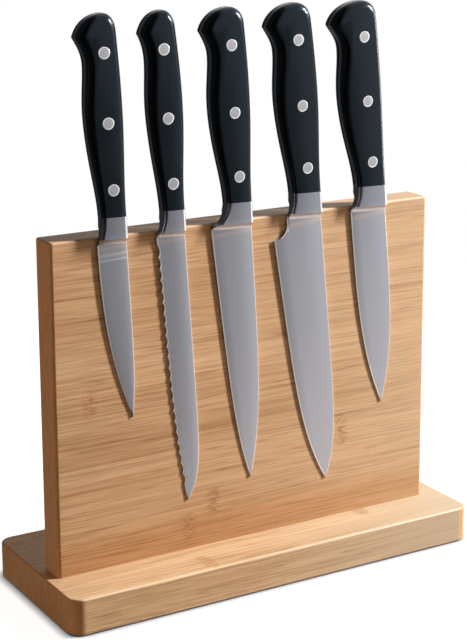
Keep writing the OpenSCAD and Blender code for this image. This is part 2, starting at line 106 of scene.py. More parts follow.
NECK_RUN = 1.5         # how far a scale's rounding runs in at the neck's belly,
GRIP_RUN = 3.6         # along the rest of the grip
BUTT_RUN = 4.3         # and at the butt
NECK_RISE = 40         # height above the bolster over which the first becomes the second
NECK_DEPTH = 0.68      # depth of the rounding as a share of the scale's thickness,
GRIP_DEPTH_MORE = 0.2  # and how much more it is above the neck
ROUND_STEPS = 11
CREASE = 80            # degrees that a scale's rounding turns before it meets the flat

# Each knife: name, distance along the board, depth of the bolster line below the board's
# top, lean in degrees, blade length and width, handle width, handle width at the bolster,
# then the outline of its blade: distance from the back's line to the tip, taper of the
# edge per millimetre, power of the edge's curve, power of the back's curve, step at the
# heel; last the arch along its handle's back and the reach of the beak past the grip
Knife = namedtuple("Knife", "name at drop lean blade_l blade_w grip_w neck_w tip_u taper "
                            "edge_power back_power heel arch beak")
KNIVES = [
    Knife("paring", 44.0, 2.2, 3.3, 100.5, 17.0, 18.8, 14.1, 3.0, 0, 2.5, 6, 0, 1.8, 2.7),
    Knife("serrated", 79.4, 2.2, 4.0, 155, 17.0, 16.7, 12.7, 9.9, 0.012, 4.5, 13, 0, 2.9, 1.4),
    Knife("slicing", 121.6, 2.3, 3.8, 149, 25.2, 21.4, 15.3, 9.9, 0.06, 5.5, 4.7, 0, 2.2, 2.5),
    Knife("chef", 167.6, 1.3, 5.5, 160.5, 32.0, 23.4, 18.1, 9.9, 0.062, 5.5, 8.5, 9.8, 2.3, 2.9),
    Knife("utility", 212.3, 1.9, 5.6, 119, 23.5, 25.5, 18.4, 11.4, 0, 3.4, 4, 0, 1.1, 3.5),
]


# ---- Materials ----

WHITE, BLACK = (1, 1, 1), (0, 0, 0)


class Graph:
    """A few short words for building a node tree."""

    def __init__(self, tree):
        self.tree = tree
        tree.nodes.clear()

    def add(self, kind, inputs=None, **settings):
        node = self.tree.nodes.new(kind)
        for name, value in settings.items():
            setattr(node, name, value)
        for name, value in (inputs or {}).items():
            self.set(node, name, value)
        return node

    def set(self, node, name, value):
        if isinstance(value, bpy.types.NodeSocket):
            self.tree.links.new(value, node.inputs[name])
        else:
            node.inputs[name].default_value = value

    def math(self, operation, a, b=0.0, clamp=False):
        node = self.add("ShaderNodeMath", {0: a, 1: b}, operation=operation, use_clamp=clamp)
        return node.outputs[0]

    def vector(self, operation, *values):
        node = self.add("ShaderNodeVectorMath", dict(enumerate(values)), operation=operation)
        return node.outputs

    def axes(self, vector):
        return self.add("ShaderNodeSeparateXYZ", {0: vector}).outputs

    def spread(self, value, start, end, first=0.0, last=1.0, smooth=False):
        """Runs from first to last while the value runs from start to end."""
        node = self.add("ShaderNodeMapRange", {"Value": value, "From Min": start, "From Max": end,
                                               "To Min": first, "To Max": last})
        if smooth:
            node.interpolation_type = "SMOOTHSTEP"
        return node.outputs[0]

    def ramp(self, value, *stops):
        node = self.add("ShaderNodeValToRGB", {"Fac": value})
        node.color_ramp.elements[0].position, node.color_ramp.elements[-1].position = 0, 1
        while len(node.color_ramp.elements) < len(stops):
            node.color_ramp.elements.new(0.5)
        for element, (position, colour) in zip(node.color_ramp.elements, sorted(stops)):
            element.position = position
            element.color = (*colour, 1)
        return node.outputs["Color"]

    def mix(self, factor, a, b, blend="MIX"):
        node = self.add("ShaderNodeMix", data_type="RGBA", blend_type=blend)
        for socket, value in zip([node.inputs[0], node.inputs[6], node.inputs[7]], [factor, a, b]):
            if isinstance(value, bpy.types.NodeSocket):
                self.tree.links.new(value, socket)
            else:
                socket.default_value = (*value, 1) if isinstance(value, tuple) else value
        return node.outputs[2]

    def noise(self, vector, scale, detail=2.0, roughness=0.5):
        node = self.add("ShaderNodeTexNoise", {"Vector": vector, "Scale": scale,
                        "Detail": detail, "Roughness": roughness})
        return node.outputs["Fac"]

    def stretched(self, vector, x, y, z, shift=(0, 0, 0)):
        node = self.add("ShaderNodeMapping", {"Vector": vector, "Scale": (x, y, z),
                        "Location": shift})
        return node.outputs[0]

    def bump(self, height, distance, strength=1.0):
        node = self.add("ShaderNodeBump", {"Height": height, "Distance": distance,
                        "Strength": strength})
        return node.outputs[0]

    def matt(self, *colour):
        return self.add("ShaderNodeBsdfDiffuse", {"Color": (*colour, 1)}).outputs[0]

    def glow(self, strength):
        return self.add("ShaderNodeEmission", {"Color": (*WHITE, 1),
                                               "Strength": strength}).outputs[0]

    def either(self, factor, a, b):
        """Shader a where the factor is 0, and b where it is 1."""
        return self.add("ShaderNodeMixShader", {0: factor, 1: a, 2: b}).outputs[0]


def material(name, build, **constants):
    """A material on one Principled shader. Constants go on the shader's own sockets."""
    made = bpy.data.materials.new(name)
    made.use_nodes = True
    graph = Graph(made.node_tree)
    shader = graph.add("ShaderNodeBsdfPrincipled")
    output = graph.add("ShaderNodeOutputMaterial")
    graph.set(output, "Surface", shader.outputs[0])
    for socket, value in constants.items():
        shader.inputs[socket.replace("_", " ")].default_value = value
    place = graph.add("ShaderNodeTexCoord").outputs["Object"]
    build(graph, shader, place)
    return made


STRIP_W = 0.0203           # width of the strips of bamboo in a plank
KNUCKLE_HALF_L = 0.0055    # half the length and width of the mark that a joint of the cane leaves
KNUCKLE_HALF_W = 0.0095


def dark_lines(graph, bent):
    """Thin dark lines of three widths along X, each broken along its length."""
    lines = None
    for rate, fine, seed, deep in ((5, 460, 0, 0.64), (7, 720, 5, 0.60), (9, 980, 9, 0.55)):
        wave = graph.noise(graph.stretched(bent, rate, fine, fine, (seed, seed, seed)), 1.0, 1)
        off = graph.math("ABSOLUTE", graph.math("SUBTRACT", wave, 0.5))
        here = graph.noise(graph.stretched(bent, 3 * rate, fine / 3, fine / 3,
                                           (seed + 3, 0, seed)), 1.0, 2)
        thin = graph.ramp(off, (0.0, WHITE), (0.034, BLACK))
        some = graph.ramp(here, (0.46, BLACK), (0.62, WHITE))
        line = graph.math("MULTIPLY", graph.math("MULTIPLY", thin, some), deep)
        lines = line if lines is None else graph.math("MAXIMUM", lines, line)
    return lines


def with_knuckles(graph, colour, bent, x, side, knuckles):
    """Short dark dashes in a slightly browner patch, at each joint of the cane."""
    dash = graph.noise(graph.stretched(bent, 300, 1000, 1000), 1.0, 2, 0.6)
    dashes = graph.ramp(dash, (0.48, BLACK), (0.55, WHITE))
    for middle_x, middle_side in knuckles:
        off_x = graph.math("DIVIDE", graph.math("SUBTRACT", x, middle_x), KNUCKLE_HALF_L)
        off_side = graph.math("DIVIDE", graph.math("SUBTRACT", side, middle_side), KNUCKLE_HALF_W)
        far = graph.math("ADD", graph.math("POWER", off_x, 2.0),
                         graph.math("POWER", graph.math("ABSOLUTE", off_side), 4.0))
        near = graph.math("SUBTRACT", 1.0, far, clamp=True)
        spot = graph.math("MULTIPLY", near, dashes)
        colour = graph.mix(graph.math("MULTIPLY", spot, 0.75), colour, (0.30, 0.135, 0.050))
        colour = graph.mix(graph.math("MULTIPLY", near, 0.16), colour, (0.50, 0.26, 0.11))
    return colour


def end_grain(graph, place):
    """The cut ends of the strips: deeper brown, with fine pores."""
    pores = graph.add("ShaderNodeTexVoronoi", {"Vector": place, "Scale": 1700.0}).outputs[0]
    ends = graph.noise(graph.stretched(place, 1, 420, 90), 1.0, 3, 0.6)
    grain = graph.ramp(ends, (0.30, (0.45, 0.230, 0.100)), (0.70, (0.54, 0.288, 0.133)))
    dots = graph.ramp(pores, (0.0, (0.62, 0.52, 0.44)), (0.30, WHITE))
    return graph.mix(0.6, grain, dots, "MULTIPLY")


def bamboo(name, across, knuckles=(), deeper_below=None, tint=WHITE,
           painted_shading_colour=(0.66, 0.52, 0.36), painted_shading_share=0.3):
    """Strips of bamboo that run along X and lie side by side along the axis `across`.

    knuckles are the joints of the cane: pairs of x and of the place across. The wood
    is a shade deeper below the place deeper_below. Toward +X it goes over into the colour
    painted_shading_colour, by the share painted_shading_share: painted light and shade.
    """
    def build(graph, shader, place):
        axes = graph.axes(place)
        x, side = axes[0], axes[across]
        strip = graph.math("FLOOR", graph.math("DIVIDE", side, STRIP_W))
        tone = graph.add("ShaderNodeTexWhiteNoise", {"W": strip},
                         noise_dimensions="1D").outputs[0]

        # The grain starts elsewhere in each strip, and wavers a little along it
        wave = graph.noise(graph.stretched(place, 8, 40, 40), 1.0, 2)
        waver = graph.math("MULTIPLY", wave, 0.0035)
        shift = graph.add("ShaderNodeCombineXYZ", {
            0: graph.math("MULTIPLY", tone, 0.7), 1: waver, 2: waver}).outputs[0]
        bent = graph.vector("ADD", place, shift)[0]

        # Broad bands, dark lines, fine fibre, and a tone for each strip
        broad = graph.noise(graph.stretched(bent, 4, 110, 110), 1.0, 3, 0.55)
        colour = graph.ramp(broad, (0.30, (0.560, 0.322, 0.160)), (0.50, (0.610, 0.362, 0.188)),
                            (0.70, (0.665, 0.408, 0.224)))
        colour = graph.mix(1.0, colour, tint, "MULTIPLY")
        lines = dark_lines(graph, bent)
        colour = graph.mix(lines, colour, (0.270, 0.112, 0.038))
        fibre = graph.noise(graph.stretched(bent, 12, 1000, 1000), 1.0, 3, 0.65)
        fine = graph.ramp(fibre, (0.36, (0.70, 0.62, 0.54)), (0.56, WHITE))
        colour = graph.mix(0.8, colour, fine, "MULTIPLY")
        shade = graph.ramp(tone, (0.0, (0.91, 0.88, 0.84)), (1.0, WHITE))
        colour = graph.mix(1.0, colour, shade, "MULTIPLY")

        # Painted light and shade: toward the right end the wood goes paler or darker, as the lamp
        # from the right falls on it
        colour = graph.mix(graph.spread(x, -0.02, 0.13, 0.0, painted_shading_share), colour, painted_shading_colour)
        if deeper_below is not None:
            low = graph.spread(side, deeper_below - 0.006, deeper_below + 0.004, 1.0, 0.0)
            colour = graph.mix(low, colour, (0.94, 0.85, 0.75), "MULTIPLY")
        colour = with_knuckles(graph, colour, bent, x, side, knuckles)

        # The rounded top edges get a painted highlight, and the ends of the strips are darker
        facing = graph.axes(graph.add("ShaderNodeNewGeometry").outputs["True Normal"])
        # Painted highlight: paler colour where the rounding turns from the front up to the top
        rim = graph.math("MULTIPLY", graph.math("ABSOLUTE", facing[1]),
                         graph.math("MAXIMUM", facing[2], 0.0))
        colour = graph.mix(rim, colour, (0.86, 0.68, 0.50))
        end_on = graph.spread(graph.math("ABSOLUTE", facing[0]), 0.03, 0.30)
        colour = graph.mix(end_on, colour, end_grain(graph, place))
        graph.set(shader, "Base Color", colour)

        graph.set(shader, "Roughness", graph.spread(broad, 0.0, 1.0, 0.5, 0.4))
        height = graph.math("SUBTRACT", graph.math("MULTIPLY", fibre, 0.5), lines)
        graph.set(shader, "Normal", graph.bump(height, 0.00006, 0.5))

    return material(name, build, Specular_IOR_Level=0.22)


def satin_steel(name, *bands):
    """Ground steel: fine scratches across the blade, with a slight cloud in the shine.

    bands are more stops of the colour along the blade, which runs from 0 at 150 mm
    below the bolster line to 1 at 10 mm above it.
    """
    def build(graph, shader, place):
        scratch = graph.noise(graph.stretched(place, 260, 260, 5200), 1.0, 2, 0.7)
        cloud = graph.noise(graph.stretched(place, 60, 60, 18), 1.0, 2)
        up = graph.spread(graph.axes(place)[2], -0.15, 0.01)
        # Painted reflection and shade along the blade: paler and warmer toward the tip, a pink
        # band of painted reflection of the wood just below the cove, and darker on the bolster
        tint = graph.ramp(up, (0.0, (0.50, 0.465, 0.485)), (0.86, (0.410, 0.412, 0.452)),
                          (0.903, (0.420, 0.415, 0.445)), (0.918, (0.54, 0.475, 0.455)),
                          (0.93, (0.400, 0.402, 0.442)), (0.97, (0.315, 0.318, 0.355)), *bands)
        fine = graph.ramp(scratch, (0.3, (0.93, 0.93, 0.93)), (0.7, WHITE))
        graph.set(shader, "Base Color", graph.mix(1.0, tint, fine, "MULTIPLY"))
        graph.set(shader, "Roughness", graph.spread(cloud, 0.0, 1.0, 0.28, 0.35))
        graph.set(shader, "Normal", graph.bump(scratch, 0.000004, 0.35))

    return material(name, build, Metallic=1.0)


def ground_steel(name, low, high):
    """Brighter steel with fine scratches: a painted highlight, or in the cove a painted reflection
    of the wood.
    """
    def build(graph, shader, place):
        scratch = graph.noise(graph.stretched(place, 300, 300, 4200), 1.0, 2, 0.7)
        graph.set(shader, "Base Color", graph.ramp(scratch, (0.3, low), (0.7, high)))
        graph.set(shader, "Normal", graph.bump(scratch, 0.000004, 0.3))

    return material(name, build, Metallic=1.0, Roughness=0.3)


def grip_plastic():
    """Satin black handle plastic with a faint moulded grain."""
    def build(graph, shader, place):
        grain = graph.noise(place, 2600.0, 3, 0.6)
        cloud = graph.noise(place, 45.0, 2)
        tint = graph.ramp(cloud, (0.3, (0.0020, 0.0040, 0.0070)), (0.7, (0.0036, 0.0064, 0.0100)))
        graph.set(shader, "Base Color", tint)
        graph.set(shader, "Roughness", graph.spread(grain, 0.0, 1.0, 0.19, 0.27))
        graph.set(shader, "Normal", graph.bump(grain, 0.000006, 0.3))

    return material("grip_plastic", build, Specular_IOR_Level=0.28,
                    Specular_Tint=(0.70, 0.87, 1.0, 1.0))


def metal(name, low, high, scale, roughness, depth=0.00001):
    """A plain metal with a fine cast or plated grain."""
    def build(graph, shader, place):
        grain = graph.noise(place, scale, 3, 0.6)
        graph.set(shader, "Base Color", graph.ramp(grain, (0.3, low), (0.7, high)))
        graph.set(shader, "Normal", graph.bump(grain, depth, 0.5))

    return material(name, build, Metallic=1.0, Roughness=roughness)


def rubber():
    def build(graph, shader, place):
        grain = graph.noise(place, 1800.0, 3, 0.6)
        tint = graph.ramp(grain, (0.3, (0.010, 0.010, 0.010)), (0.7, (0.022, 0.021, 0.020)))
        graph.set(shader, "Base Color", tint)
        graph.set(shader, "Normal", graph.bump(grain, 0.00003, 0.6))

    return material("rubber", build, Roughness=0.75)


# ---- Shapes of a knife, in its own frame and in millimetres ----
# The back of the blade runs down from the origin, the edge lies on the -X side,
# the handle stands up along +Z, and the face of the board is y = 0.

def bezier(a, b, c, d, steps):
    points = []
    for i in range(steps):
        t = i / steps
        s = 1 - t
        points.append(s * s * s * a + 3 * s * s * t * b + 3 * s * t * t * c + t * t * t * d)
    return points


def slope(k):
    """The bolster's lines lie almost level although the knife leans."""
    return math.tan(math.radians(k.lean + JOINT_TILT))


def grip_outline(k):
    """Outline of the handle from the bolster up its back, over the butt and down its belly."""
    w = k.grip_w
    start, neck = Vector((0, BOLSTER_H)), Vector((k.neck_w, BOLSTER_H + k.neck_w * slope(k)))
    shoulder = Vector((-0.61 * k.arch, BUTT_Z - SHOULDER_DROP))
    crown = Vector((w / 2 - CROWN_OFFSET, BUTT_Z))
    tip = Vector((w + k.beak, BUTT_Z - BEAK_DROP))
    hollow = Vector((w - WAIST_SHARE * w, BUTT_Z - WAIST_DROP))
    belly = Vector((w, BUTT_Z - BELLY_DROP))
    rise, swell, fall = shoulder.y - start.y, hollow.y - belly.y, belly.y - neck.y
    return (
        bezier(start, start + Vector((0, 0.33 * rise)),
               Vector((-2.2 * k.arch, shoulder.y - 0.61 * rise)), shoulder, 30)
        + bezier(shoulder, shoulder + Vector((0, 0.6 * SHOULDER_DROP)),
                 Vector((0.4 * crown.x, BUTT_Z)), crown, 18)
        + bezier(crown, Vector(((crown.x + tip.x) / 2, BUTT_Z)),
                 tip + BEAK_DROP * Vector((-0.22, 0.58)), tip, 21)
        + bezier(tip, tip - BEAK_DROP * Vector((0.2, 0.38)),
                 hollow + Vector((0, 0.18 * swell)), hollow, 15)
        + bezier(hollow, hollow - Vector((0, 0.29 * swell)),
                 belly + Vector((0, 0.42 * swell)), belly, 15)
        + bezier(belly, belly - Vector((0, 0.43 * fall)), neck + Vector((0, 0.27 * fall)),
                 neck, 24)
        + [neck]
    )


def half_t(z):
    """Half the thickness of the handle."""
    return (NECK_T + (BUTT_T - NECK_T) * (z - BOLSTER_H) / (BUTT_Z - BOLSTER_H)) / 2


def arc(steps=5, start=0.0, end=90.0):
    return [math.radians(start + (end - start) * i / steps) for i in range(steps + 1)]


def along(k, v):
    """Share of the blade's length at v below the bolster line."""
    return max(v - COVE_DROP, 0) / (k.blade_l - COVE_DROP)


def heel_r(k):
    return HEEL_SHARE * k.heel


def tooth_depth(k, v):
    """How far the hollow between two teeth cuts into the edge."""
    if k.name != "serrated":
        return 0.0
    count = math.floor((k.blade_l - FIRST_TOOTH - LAST_TOOTH) / TOOTH_PITCH)
    nearest = round((v - FIRST_TOOTH) / TOOTH_PITCH)
    if not 0 <= nearest <= count:
        return 0.0
    off = v - FIRST_TOOTH - nearest * TOOTH_PITCH
    return max(0.0, TOOTH_DEPTH - TOOTH_R + math.sqrt(TOOTH_R ** 2 - off ** 2))


def full_u(k, v):
    """As edge_u, without the cut at the heel."""
    t, taper = along(k, v), k.taper * k.blade_l
    return k.blade_w - taper * t - (k.blade_w - taper - k.tip_u) * t ** k.edge_power


def edge_u(k, v):
    """Distance from the back's line to the edge, v below the bolster line."""
    root = k.blade_w - k.heel
    if k.heel and v <= HEEL_TOP + heel_r(k):
        return root + heel_r(k) - math.sqrt(max(0, heel_r(k) ** 2 - max(0, v - HEEL_TOP) ** 2))
    return full_u(k, v)


def back_u(k, v):
    return k.tip_u * along(k, v) ** k.back_power


# Points in one section of a blade or bolster: the back's corners behind and in front,
# 4 down the front, 2 on the ground edge, the edge's end and 4 up behind
CORNER = arc()
RING = 4 * len(CORNER) + 4
SPINE_FACES = range(len(CORNER), 2 * len(CORNER) - 1)
FRONT_FACES = range(2 * len(CORNER) - 1, 2 * len(CORNER) + 4)
GROUND_FACES = range(2 * len(CORNER) + 4, 2 * len(CORNER) + 6)


def blade_ring(k, z):
    """Section of the blade: flat near its back on both sides, then ground to the edge.

    The edge lies in the blade's middle plane, so it stands a little off the board.
    """
    v = -z
    teeth = tooth_depth(k, v)
    back, edge, full = back_u(k, v), edge_u(k, v) - teeth, full_u(k, v)
    w = max(edge - back, 0.02)
    bevel = min(BEVEL_W + (TOOTH_DEPTH if k.name == "serrated" else 0), w / 3)
    thick = BLADE_T + (TIP_T - BLADE_T) * along(k, v)
    middle = thick / 2
    r, b = min(SPINE_R, w / 5), min(EDGE_END_R, w / 6)
    # The slope is that of the full blade, and ends early where the heel is cut away
    flat = -back - FLAT_SHARE * min(full - back, k.blade_w)
    long = flat - bevel + full
    reach = min(1, (flat - bevel + edge + teeth) / long)
    drop = middle - EDGE_T / 2
    slim = drop * max(0, along(k, v) - SLIM_FROM) / SLIM_RUN
    side = [(flat - long * s * reach, middle - drop * (s * reach) ** SLOPE_POWER)
            for s in (0, 0.33, 0.66, 1)]
    behind = [(-back - b + b * math.sin(a), -b + b * math.cos(a)) for a in CORNER]
    corner = [(-back - r + r * math.cos(a), slim - thick + r - r * math.sin(a)) for a in CORNER]
    front = [(x, -middle - max(EDGE_T / 2, half - slim)) for x, half in side]
    ground = [(min(0.7, 0.7 * bevel) - edge, -middle - 0.35 * EDGE_T - 0.02),
              (-edge, -middle - EDGE_END_R)]
    last = [(b / 2 - edge - b / 2 * math.cos(a), -middle + EDGE_END_R * math.sin(a))
            for a in CORNER]
    hind = [(x, -middle + half) for x, half in reversed(side)]
    return [Vector((x, y, z)) for x, y in behind + corner + front + ground + last + hind]


def bolster_ring(k, z, clear_z):
    """Section of the bolster: its back is flush with the blade's up to clear_z."""
    root = k.blade_w - k.heel
    rise = 1 - (z + COVE_DROP) / (BOLSTER_H + COVE_DROP)
    w = k.neck_w + (root - k.neck_w) * rise * rise
    behind = min(1, max(0, z - clear_z) / COVE_H) ** 2
    front_y, back_y = -BLADE_T / 2 - half_t(z), behind * (half_t(z) - BLADE_T / 2)
    r, wide = BOLSTER_R, BOLSTER_FRONT_R
    b = EDGE_END_R + behind * (r - EDGE_END_R)
    corners = (
        [(-b + b * math.sin(a), back_y - b + b * math.cos(a)) for a in CORNER]
        + [(-wide + wide * math.cos(a), front_y + wide - wide * math.sin(a)) for a in CORNER]
        + [(r - w - r * math.sin(a), front_y + r - r * math.cos(a)) for a in CORNER]
        + [(b - w - b * math.cos(a), back_y - b + b * math.sin(a)) for a in CORNER]
        + [(-w * share, back_y) for share in (0.8, 0.6, 0.4, 0.2)]
    )
    return [Vector((x, y, z)) for x, y in corners]


def steel_ring(k, z, clear_z):
    """Section of the steel, which goes over from blade to bolster through the cove."""
    share = min(1, max(0, z + COVE_DROP) / COVE_H) ** 2
    if share == 0:
        ring = blade_ring(k, z)
    elif share == 1:
        ring = bolster_ring(k, z, clear_z)
    else:
        pairs = zip(blade_ring(k, z), bolster_ring(k, z, clear_z))
        ring = [low.lerp(high, share) for low, high in pairs]
    tilt = slope(k) * min(1, max(0, 1 + (z + COVE_DROP) / TILT_FADE))
    return [Vector((p.x, p.y, p.z - p.x * tilt)) for p in ring]


def steel_heights(k):
    """Where the sections of a blade and its bolster lie, from the tip up.

    They are closer towards the tip, and on the serrated blade close enough for its teeth.
    """
    first_v = max(COVE_DROP, HEEL_TOP + heel_r(k) if k.heel else 0) + 0.1
    steps = 400 if k.name == "serrated" else 90
    power = 1.15 if k.name == "serrated" else 2
    long = k.blade_l - first_v
    heights = [-first_v - long * (1 - (1 - i / steps) ** power) for i in range(steps - 1, -1, -1)]
    if k.heel:
        heights += [-HEEL_TOP - heel_r(k) * math.sin(a) for a in arc(14, 90, 0)]
    heights += [COVE_H * i / 14 - COVE_DROP for i in range(15)]
    top = COVE_H - COVE_DROP
    heights += [top + (BOLSTER_H - top) * i / 24 for i in range(1, 25)]
    return heights


def tube(rings):
    """Faces that join a stack of closed rings, with both ends closed."""
    n = len(rings[0])
    points = [p for ring in rings for p in ring]
    faces = [tuple(range(n))]
    for i in range(len(rings) - 1):
        for j in range(n):
            faces.append((i * n + j, i * n + (j + 1) % n, (i + 1) * n + (j + 1) % n,
                          (i + 1) * n + j))
    faces.append(tuple(range(len(points) - 1, len(points) - n - 1, -1)))
    return points, faces


def piece(name, parts, materials, place, sharp=35):
    """One object from several closed shapes. sharp is the angle of a sharp edge."""
    points, faces, indices = [], [], []
    for part_points, part_faces, part_indices in parts:
        faces += [tuple(i + len(points) for i in face) for face in part_faces]
        points += [p * MM for p in part_points]
        indices += part_indices
    mesh = bpy.data.meshes.new(name)
    mesh.from_pydata([tuple(p) for p in points], [], faces)
    for made in materials:
        mesh.materials.append(made)
    mesh.polygons.foreach_set("material_index", indices)
    mesh.validate()
    shape = bmesh.new()
    shape.from_mesh(mesh)
    bmesh.ops.recalc_face_normals(shape, faces=shape.faces)
    shape.to_mesh(mesh)
    shape.free()
    mesh.shade_smooth()
    mesh.set_sharp_from_angle(angle=math.radians(sharp))
    obj = bpy.data.objects.new(name, mesh)
    obj.matrix_world = place
    bpy.context.scene.collection.objects.link(obj)
    return obj


def steel_part(k):
    """Blade and bolster in one skin.

    Its materials are 0 satin, 1 ground edge and blade's back with a painted highlight, 2 cove
    with a painted reflection of the wood, and 3 bolster's corner with a painted highlight.
    """
    clear_z = (k.drop + (k.blade_w - k.heel) * math.sin(math.radians(k.lean))) \
        / math.cos(math.radians(k.lean)) + LIFT
    heights = steel_heights(k)
    points, faces = tube([steel_ring(k, z, clear_z) for z in heights])
    indices = [0]
    for height in heights[1:]:
        below, above = height <= -COVE_DROP, height > COVE_H - COVE_DROP
        for j in range(RING):
            if j in SPINE_FACES or (j in GROUND_FACES and below):
                indices.append(3 if above else 1)
            else:
                indices.append(2 if j in FRONT_FACES and not (below or above) else 0)
    return points, faces, indices + [0]


def tang_part(k):
    """The tang, as wide as the handle's outline. Its foot reaches into the bolster."""
    low = [Vector((FOOT_INSET - k.neck_w, BOLSTER_H - FOOT_DEPTH)),
           Vector((-FOOT_INSET, BOLSTER_H - FOOT_DEPTH))]
    flat = low + [Vector((-p.x, p.y)) for p in grip_outline(k)]
    rings = [[Vector((p.x, y, p.y)) for p in flat] for y in (0, -BLADE_T)]
    points, faces = tube(rings)
    return points, faces, [0] * len(faces)


def inward(line, i):
    """Direction into the handle at a point of its outline, along the joint at both ends."""
    joint = (line[-1] - line[0]).normalized()
    if i in (0, len(line) - 1):
        return joint if i == 0 else -joint
    run = line[i + 1] - line[i - 1]
    return Vector((run.y, -run.x)).normalized()


def smoothed(line, rounds):
    for _ in range(rounds):
        line = [line[0]] + [(a + 2 * b + c) / 4 for a, b, c in zip(line, line[1:], line[2:])] \
            + [line[-1]]
    return line


def above_neck(z):
    """0 at the bolster and 1 from NECK_RISE above it."""
    return min(1, max(0, (z - BOLSTER_H) / NECK_RISE))


def rounding(point, direction):
    """How far a scale's rounding runs in from its edge: least at the neck's belly."""
    back = max(0, direction.x)
    belly_run = NECK_RUN + (GRIP_RUN - NECK_RUN) * above_neck(point.y)
    run = belly_run * (1 - back) + GRIP_RUN * back
    butt = min(1, max(0, (point.y - BUTT_Z + 26) / 22))
    return run + (BUTT_RUN - run) * butt * (1 - 0.3 * back)


def scale_part(k, side):
    """A scale: a foot on the tang, a rounding up from its edge, and the face.

    side is -1 for the front and 1 for the back.
    """
    line = grip_outline(k)
    reach = [rounding(p, inward(line, i)) for i, p in enumerate(line)]
    reach = [v.x for v in smoothed([Vector((run, 0)) for run in reach], 30)]
    rim = [p + inward(line, i) * reach[i] for i, p in enumerate(line)]
    low, high = rim[0], rim[-1]
    rim = smoothed(rim, 40)
    rim[0], rim[-1] = low, high
    face_y = 0 if side > 0 else -BLADE_T
    top = math.radians(CREASE)

    def ring(turn):
        points = []
        for outer, inner in zip(line, rim):
            spot = outer.lerp(inner, (1 - math.cos(turn)) / (1 - math.cos(top)))
            depth = half_t(spot.y) - BLADE_T / 2
            deep = depth * (NECK_DEPTH + GRIP_DEPTH_MORE * above_neck(outer.y))
            sink = deep * (1 - math.sin(turn) / math.sin(top))
            points.append(Vector((-spot.x, face_y + side * (depth - sink), spot.y)))
        return points

    foot = [Vector((-p.x, face_y, p.y)) for p in line]
    rings = [ring(top * i / ROUND_STEPS) for i in range(ROUND_STEPS + 1)]
    points, faces = tube([foot] + rings)
    return points, faces, [0] * len(faces)


def lathe(profile, centre):
    """Closed body turned about Y. profile is pairs of radius and y."""
    turns = [2 * math.pi * i / SEGMENTS for i in range(SEGMENTS)]
    return tube([[centre + Vector((r * math.cos(turn), y, r * math.sin(turn)))
                  for turn in turns] for r, y in profile])


# Radius of a rivet's head and shank, and the depth below the head's flat middle
RIVET_PROFILE = [(0.02, 0), (2.7, 0), (2.95, 0.01), (3.2, 0.05), (3.4, 0.14), (RIVET_R, 0.3),
                 (RIVET_R, 2.0), (RIVET_SHANK_R, 2.0)]
RIM_ROWS = (1, 2, 3, 4)


def rivet_part(k, number):
    """A rivet with a ground head in each scale: a flat middle inside a bright rim."""
    w = (k.neck_w + k.grip_w) / 2 if number == 1 else k.grip_w
    z = BUTT_Z - RIVET_END if number == 3 else \
        BOLSTER_H + RIVET_START + (number - 1) * RIVET_PITCH
    half = half_t(z) + RIVET_PROUD
    head = [(r, half - depth) for r, depth in RIVET_PROFILE]
    profile = head + [(r, -y) for r, y in reversed(head)]
    points, faces = lathe(profile, Vector((-RIVET_INSET - RIVET_SHARE * w, -BLADE_T / 2, z)))
    last = len(profile) - 2
    bright = {*RIM_ROWS, *(last - row for row in RIM_ROWS)}
    indices = [0] + [1 if i // SEGMENTS in bright else 0 for i in range(len(faces) - 2)] + [0]
    return points, faces, indices


# ---- The object ----

board_low, board_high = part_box("front_layer")


def knife_place(k):
    """From a knife's own axes to the frame: it hangs on the face of the board, and leans."""
    corner = Vector((board_low.x, board_low.y, board_high.z)) + Vector((k.at, 0, -k.drop)) * MM
    return Matrix.Translation(corner) @ Matrix.Rotation(-math.radians(k.lean), 4, "Y")


def make_knife(k, looks):
    place, body = knife_place(k), k.name + "_knife"
    pieces = [
        (piece(k.name + "_steel", [steel_part(k), tang_part(k)],
               [looks["banded" if k.name == "paring" else "satin"], looks["ground"],
                looks["cove"], looks["corner_highlight"]], place),
         "blade", "blade_steel"),
        (piece(k.name + "_front_grip", [scale_part(k, -1)], [looks["grip"]], place, 25),
         "front_scale", "handle_plastic"),
        (piece(k.name + "_back_grip", [scale_part(k, 1)], [looks["grip"]], place, 25),
         "back_scale", "handle_plastic"),
    ]
    for number in (1, 2, 3):
        pieces.append((piece(f"{k.name}_pin_{number}", [rivet_part(k, number)],
                             [looks["pin"], looks["pin_rim"]], place, 12),
                       f"rivet_{number}", "rivet_metal"))
    for obj, node, slot in pieces:
        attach(obj, body)
        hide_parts(f"{k.name}_{node}")


def dress(node, look):
    """A CAD node keeps its mesh and gets a better material."""
    mesh = frame["nodes"][node].data
    mesh.materials.clear()
    mesh.materials.append(look)


def make_block(looks):
    for node in ("front_layer", "back_layer"):
        dress(node, looks["board"])
    dress("base", looks["base"])
    slots = {entry["node"]: entry["material_slot"] for entry in frame["record"]["subparts"]}
    hidden = {"strip_steel": "mild_steel", "magnet": "nickel", "screw_steel": "zinc",
              "dowel_wood": "dowel", "foot_rubber": "rubber"}
    for node, slot in slots.items():
        if slot in hidden:
            dress(node, looks[hidden[slot]])


# ---- The studio ----

IMAGE_H = 640              # the longer side of the picture, in pixels
FOCAL = 1684.4             # focal length in pixels
SHIFT = 90                 # pixels that the picture's middle lies below the line of sight
EYE = (-0.47609, -0.80507, 0.39996)
GAZE = (30.459, 12.217, -0.283)     # degrees to the right of +Y, down, and of roll

# Name, place, aim, size, watts, colour, and whether a shine shows it
LAMPS = [
    ("key", (1.38, -0.53, 0.88), (0, 0, 0.13), (0.16, 0.70), 68, WHITE, True),
    ("left", (-1.25, 0.30, 0.16), (-0.13, 0, 0.1), (0.5, 0.4), 3.9, (1, 0.84, 0.70), False),
    ("side", (1.15, 0.03, 0.32), (0, 0, 0.25), (0.10, 0.60), 3.8, WHITE, True),
]

